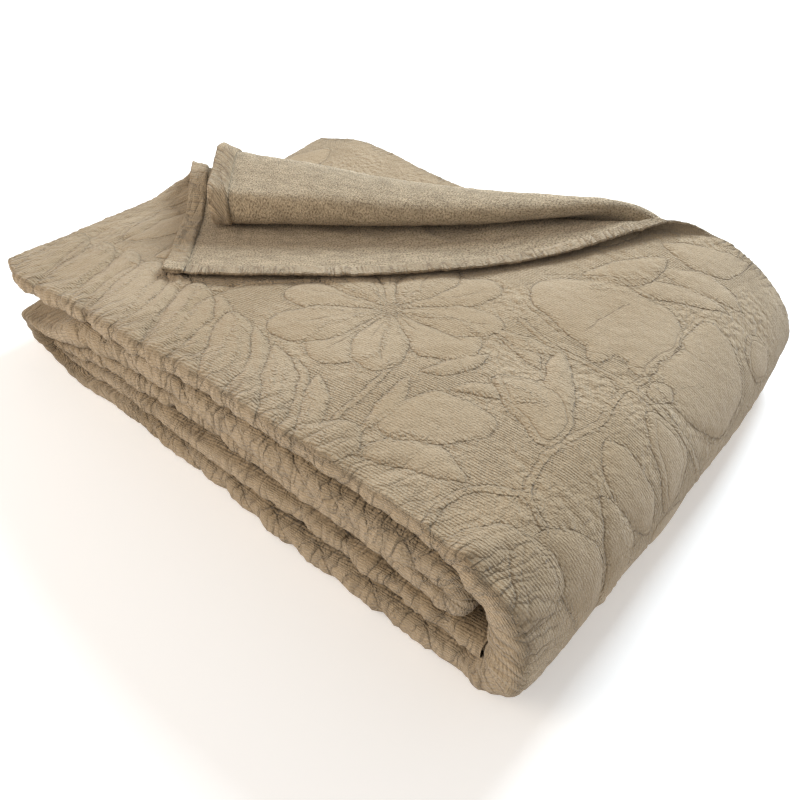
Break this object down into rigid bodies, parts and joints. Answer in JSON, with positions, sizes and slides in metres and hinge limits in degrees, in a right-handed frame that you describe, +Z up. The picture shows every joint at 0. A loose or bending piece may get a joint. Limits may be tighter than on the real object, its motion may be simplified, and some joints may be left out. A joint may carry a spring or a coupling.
{
  "type": "folded jacquard bedspread",
  "caption": "Woven cotton bedspread with a raised flower design, pleated and folded into a flat stack for storage, with a back corner turned over to show its reverse and hem",
  "frame": {"origin": "centre of the overall box in plan, on the surface that the stack lies on", "axes": "+X along the front face from the left end to the thick rounded end, +Y from the front face to the back, +Z up"},
  "size_m": [0.5352, 0.4038, 0.1401],
  "materials": {
    "matelasse_cotton": "matt, tan cotton with raised quilted figures"
  },
  "bodies": {
    "root": {"bedspread_cloth": "matelasse_cotton"}
  },
  "joints": []
}
